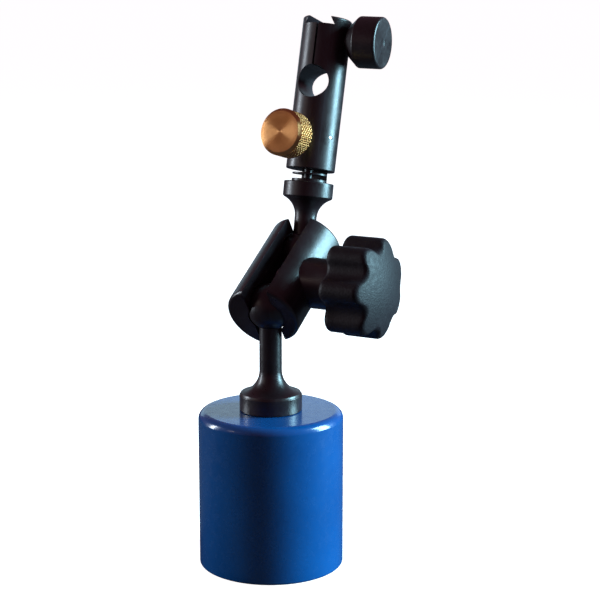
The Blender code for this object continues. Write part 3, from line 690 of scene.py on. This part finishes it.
def build_bar():
    """Round bar with the stem bore, its slit, the dovetail on top and the screws' holes."""
    length, reach = BAR_LENGTH, BAR_RADIUS + PAST
    profile = [(0, length),
               *arc((BAR_RADIUS - BAR_TOP_EDGE, length - BAR_TOP_EDGE), BAR_TOP_EDGE, 90, 0, 6),
               *arc((BAR_RADIUS - BAR_FOOT_EDGE, BAR_FOOT_EDGE), BAR_FOOT_EDGE, 0, -90, 4), (0, 0)]
    bar = lathe("indicator_bar_milled", profile, BAR_FRAME, 160)
    bore_height, side, throat = length - STEM_BORE_DROP, SLIT_WIDTH / 2, DOVETAIL_THROAT / 2
    bore_frame = turn_about(BAR_FRAME, (0, 0, bore_height), 90, BORE_AZIMUTH)
    turned_frame = turn_about(BAR_FRAME, azimuth=BORE_AZIMUTH + 90)
    stop_pin_frame = turn_about(BAR_FRAME, (0, 0, STOP_PIN_HEIGHT), 90, STOP_PIN_AZIMUTH)
    cutters = [
        rod("stem_bore", STEM_BORE_RADIUS, -reach, reach, bore_frame, 96),
        block("slit", (-side, -reach, bore_height), (side, reach, length + PAST), turned_frame),
        block("dovetail", (-throat, -reach, length - DOVETAIL_DEPTH), (throat, reach, length),
              turned_frame, DOVETAIL_FLOOR / DOVETAIL_THROAT),
        block("mouth", (-throat, -reach, length - MOUTH_DEPTH), (throat, reach, length + PAST),
              turned_frame),
        rod("thumb_hole", THUMB_SCREW_RADIUS + SCREW_FIT, THUMB_SCREW_END - LOOSE_FIT, reach,
            THUMB_FRAME, 48),
        rod("fine_hole", FINE_SCREW_RADIUS + SCREW_FIT, FINE_HOLE_END, reach, FINE_FRAME, 48),
        rod("pin_bore", PIN_RADIUS + PIN_PLAY, -PAST, FINE_SCREW_HEIGHT,
            turn_about(BAR_FRAME, (0, PIN_OFFSET, 0)), 48),
        rod("stop_pin_hole", STOP_PIN_RADIUS + SLIDING_FIT, STOP_PIN_START - 0.2, reach,
            stop_pin_frame, 32)]
    carve(bar, cutters, BAR_EDGE)
    place(bar, "bar", "black_oxide", BLACK_MILLED, "indicator_bar")
    pin = rod("stop_pin_ground", STOP_PIN_RADIUS, STOP_PIN_START, BAR_RADIUS - STOP_PIN_DROP,
              stop_pin_frame, 32, STOP_PIN_EDGE)
    place(pin, "bar", "steel", STEEL, "screw_stop_pin")


def diamond_knurl(start, end):
    """Relief of crossed V grooves that fades out toward two heights."""
    def relief(angle, r, z):
        if not start <= z <= end:
            return 0.0
        turns = angle / (2 * math.pi) * KNURL_GROOVES
        rise = z / KNURL_PITCH
        one = abs(2 * ((turns + rise) % 1.0) - 1)
        two = abs(2 * ((turns - rise) % 1.0) - 1)
        fade = min(1.0, (z - start) / KNURL_FADE, (end - z) / KNURL_FADE)
        return -KNURL_DEPTH * fade * max(1 - GROOVE_STEEPNESS * min(one, two), 0.0)
    return relief


def build_fine_screw():
    """Brass head with a diamond knurl, turned face and hub, on a threaded shank."""
    face, radius = FINE_HEAD_FACE, FINE_HEAD_RADIUS
    back, chamfer, bore = face - FINE_HEAD_LENGTH, FINE_CHAMFER, FINE_SCREW_RADIUS + 0.05
    floor = back + FINE_BORE_DEPTH
    profile = [*[(r, face) for r in (0, 1.2, 2.4, 3.6)], (radius - chamfer - 0.06, face),
               (radius - chamfer + 0.03, face - 0.03), (radius - 0.12, face - chamfer + 0.06),
               *rows(radius, face - chamfer, back + 0.45, 0.07),
               (radius - 0.4, back), (FINE_HUB_RADIUS + 0.2, back), (FINE_HUB_RADIUS, back - 0.2),
               (FINE_HUB_RADIUS, FINE_HUB_END + 0.2), (FINE_HUB_RADIUS - 0.2, FINE_HUB_END),
               (bore, FINE_HUB_END), (bore, floor), (0, floor)]
    knurl = diamond_knurl(back + 0.4, face - chamfer)
    head = lathe("fine_screw_brass", profile, FINE_FRAME, 374,
                 relief=lambda a, r, z: knurl(a, r, z) if r > radius - 0.01 else 0.0)
    place(head, "fine_screw", "brass", BRASS, "fine_screw_head", sharp=24)
    shank = FINE_SCREW_RADIUS
    profile = [(0, floor - 0.1), *rows(shank, floor - 0.1, FINE_THREAD_START, 0.06),
               (0.4, FINE_TIP), (0, FINE_TIP)]
    screw = lathe("fine_screw_thread", profile, FINE_FRAME, 48,
                  relief=thread(SCREW_PITCH, FINE_THREAD_DEPTH, FINE_THREAD_START, FINE_HUB_END))
    place(screw, "fine_screw", "steel", STEEL, "fine_screw_shank")


def build_thumbscrew():
    """Smooth turned head with a conical back and rounded rims, on a threaded shank."""
    radius, face, rim, dimple = THUMB_RADIUS - THUMB_TRIM, THUMB_FACE, THUMB_RIM, THUMB_DIMPLE
    bore, floor = THUMB_SCREW_RADIUS + SEAM, face - THUMB_BORE_DEPTH
    profile = [(0, face - dimple), (1.0, face - dimple), (1.2, face - SEAM), (radius - 0.9, face),
               *arc((radius - rim, face - rim), rim, 78, 12, 5),
               *rows(radius, face - 0.7, THUMB_CONE_END + 0.3, 0.25),
               *arc((radius - 0.4, THUMB_CONE_END + 0.3), 0.4, 0, -55, 4),
               (THUMB_NECK_RADIUS + 0.3, THUMB_NECK_START + 0.1), (THUMB_NECK_RADIUS, THUMB_NECK_START),
               (bore, THUMB_NECK_START), (bore, floor), (0, floor)]
    head = lathe("stem_clamp_turned", profile, THUMB_FRAME, 160)
    place(head, "stem_clamp", "black_oxide", BLACK_TURNED, "stem_clamp_head")
    shank, thread_start = THUMB_SCREW_RADIUS, THUMB_SCREW_END + 0.3
    profile = [(0, floor - 0.1), *rows(shank, floor - 0.1, thread_start, 0.07),
               (shank - 0.3, THUMB_SCREW_END), (0, THUMB_SCREW_END)]
    screw = lathe("stem_clamp_thread", profile, THUMB_FRAME, 48,
                  relief=thread(SCREW_PITCH, THUMB_THREAD_DEPTH, thread_start, THUMB_NECK_START))
    place(screw, "stem_clamp", "steel", STEEL, "stem_clamp_screw")


# ---------------------------------------------------------------- studio

CAMERA_AZIMUTH, CAMERA_DISTANCE, CAMERA_HEIGHT = 30.56, 373.4, 140.6
CAMERA_YAW, CAMERA_PITCH = -1.08, 11.43
FOCAL_PIXELS, FRAME_PIXELS, SENSOR = 1600.0, 600.0, 36.0
LIGHT_TARGET = (0, 10, 65)
FLOOR_HALF, FLOOR_DROP = 60.0, 0.00002            # metres


def build_camera():
    """The photo's viewpoint: a place round the object and a heading and pitch from there."""
    around = math.radians(CAMERA_AZIMUTH)
    position = Vector((CAMERA_DISTANCE * math.sin(around), -CAMERA_DISTANCE * math.cos(around),
                       CAMERA_HEIGHT)) * MM
    heading, pitch = math.radians(CAMERA_AZIMUTH + CAMERA_YAW), math.radians(CAMERA_PITCH)
    back = Vector((math.sin(heading) * math.cos(pitch), -math.cos(heading) * math.cos(pitch),
                   math.sin(pitch)))
    data = bpy.data.cameras.new("camera")
    data.sensor_width = SENSOR
    data.lens = FOCAL_PIXELS / FRAME_PIXELS * SENSOR
    data.clip_start, data.clip_end = 0.01, 20
    camera = bpy.data.objects.new("camera", data)
    camera.location = position
    camera.rotation_mode = "QUATERNION"
    camera.rotation_quaternion = (-back).to_track_quat("-Z", "Y")
    bpy.context.scene.collection.objects.link(camera)
    bpy.context.scene.camera = camera


def area_light(name, azimuth, elevation, distance, size, power, colour):
    """A softbox on a sphere round the object, its azimuth counted from the camera's."""
    around, up = math.radians(CAMERA_AZIMUTH + azimuth), math.radians(elevation)
    out = Vector((math.sin(around) * math.cos(up), -math.cos(around) * math.cos(up), math.sin(up)))
    data = bpy.data.lights.new(name, "AREA")
    data.shape = "RECTANGLE"
    data.size, data.size_y = size
    data.energy = power
    data.color = colour
    light = bpy.data.objects.new(name, data)
    light.location = Vector(LIGHT_TARGET) * MM + out * distance
    light.rotation_mode = "QUATERNION"
    light.rotation_quaternion = out.to_track_quat("Z", "Y")
    light.visible_camera = False
    bpy.context.scene.collection.objects.link(light)


def camera_only(tree, elsewhere, to_camera):
    """A colour or strength that the camera's own rays see as to_camera."""
    seen = tree.nodes.new("ShaderNodeLightPath").outputs["Is Camera Ray"]
    if isinstance(elsewhere, float):
        value = tree.nodes.new("ShaderNodeMapRange")
        value.inputs["To Min"].default_value = elsewhere
        value.inputs["To Max"].default_value = to_camera
        tree.links.new(seen, value.inputs["Value"])
        return value.outputs[0]
    mix = tree.nodes.new("ShaderNodeMix")
    mix.data_type = "RGBA"
    tree.links.new(seen, mix.inputs["Factor"])
    mix.inputs["A"].default_value = (*elsewhere, 1.0)
    mix.inputs["B"].default_value = (*to_camera, 1.0)
    return mix.outputs["Result"]


def build_studio():
    """A pale floor and background in front of the camera, and a dark room with softboxes."""
    mesh = bpy.data.meshes.new("floor")
    half = FLOOR_HALF
    mesh.from_pydata([(-half, -half, 0), (half, -half, 0), (half, half, 0), (-half, half, 0)],
                     [], [(0, 1, 2, 3)])
    floor = new_object("floor", mesh, Matrix.Translation((0, 0, -FLOOR_DROP)))
    n = Nodes("floor", Roughness=0.9, Specular_IOR_Level=0.0)
    n.shader.inputs["Emission Color"].default_value = (1, 1, 1, 1)
    n.link("Base Color", camera_only(n.tree, (0.08, 0.07, 0.08), (0.9, 0.9, 0.9)))
    n.link("Emission Strength", camera_only(n.tree, 0.0, 0.94))
    mesh.materials.append(n.material)
    world = bpy.data.worlds.new("studio")
    world.use_nodes = True
    tree = world.node_tree
    room = camera_only(tree, (0.12, 0.05, 0.07), (1.05, 1.05, 1.05))
    tree.links.new(room, tree.nodes["Background"].inputs["Color"])
    scene = bpy.context.scene
    scene.world = world
    scene.view_settings.view_transform = "Standard"
    area_light("right", 90, 14, 0.6, (0.24, 0.5), 11.5, (0.45, 0.84, 1.0))
    area_light("left", -102, 8, 0.6, (0.10, 0.36), 2.2, (0.8, 0.9, 1.0))
    area_light("back", 180, 10, 0.8, (0.9, 0.24), 0.55, (0.5, 0.85, 1.0))
    area_light("front_left", -66, 20, 0.6, (0.1, 0.1), 0.07, (1.0, 0.85, 0.75))


def main():
    """Everything in order: camera and studio, then the object from the magnet up."""
    build_camera()
    build_studio()
    build_magnet()
    build_lower_stud()
    build_jaws()
    build_clamp_bolt()
    build_spring()
    build_collar()
    build_knob()
    build_upper_stud()
    build_neck()
    build_bar()
    build_fine_screw()
    build_thumbscrew()


main()
